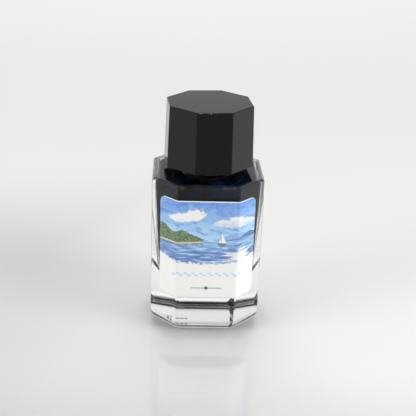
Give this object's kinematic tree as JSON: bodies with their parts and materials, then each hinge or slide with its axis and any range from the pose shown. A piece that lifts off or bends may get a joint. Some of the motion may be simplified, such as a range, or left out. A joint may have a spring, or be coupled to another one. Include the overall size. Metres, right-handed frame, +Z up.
{
  "type": "ink bottle",
  "caption": "Small square clear glass ink bottle with chamfered corners, a thick base, a wrap-around paper label and a tall black octagonal screw cap that unscrews to open the neck.",
  "frame": {"origin": "centre of the bottle's foot, on the surface it stands on", "axes": "+Z up along the neck's axis, -Y out of the labelled front face, +X to the right seen from the front"},
  "size_m": [0.033, 0.0331, 0.068],
  "materials": {
    "clear_glass": "polished clear soda-lime glass",
    "ink_fill": "opaque dark blue-black liquid",
    "label_paper": "smooth white label paper printed with a watercolour seascape",
    "cap_black": "satin black moulded plastic",
    "insert_black": "plain black moulded plastic",
    "foam_white": "white closed-cell foam",
    "film_white": "smooth white film"
  },
  "bodies": {
    "bottle": {"glass_bottle": "clear_glass", "ink": "ink_fill", "front_label": "label_paper"},
    "seal": {"cap_liner": "foam_white", "liner_facing": "film_white"},
    "cap": {"cap_shell": "cap_black", "cap_insert": "insert_black"}
  },
  "joints": [
    {"name": "cap_rise", "type": "slide", "parent": "bottle", "child": "seal", "axis": [0, 0, 1], "range_m": [0, 0.00635]},
    {"name": "cap_turn", "type": "hinge", "parent": "seal", "child": "cap", "pos_m": [0, 0, 0.0587], "axis": [0, 0, 1], "range_deg": [0, 720]}
  ],
  "couplings": [
    {"joint": "cap_rise", "follows": "cap_turn", "m_per_rad": 0.00050532}
  ]
}
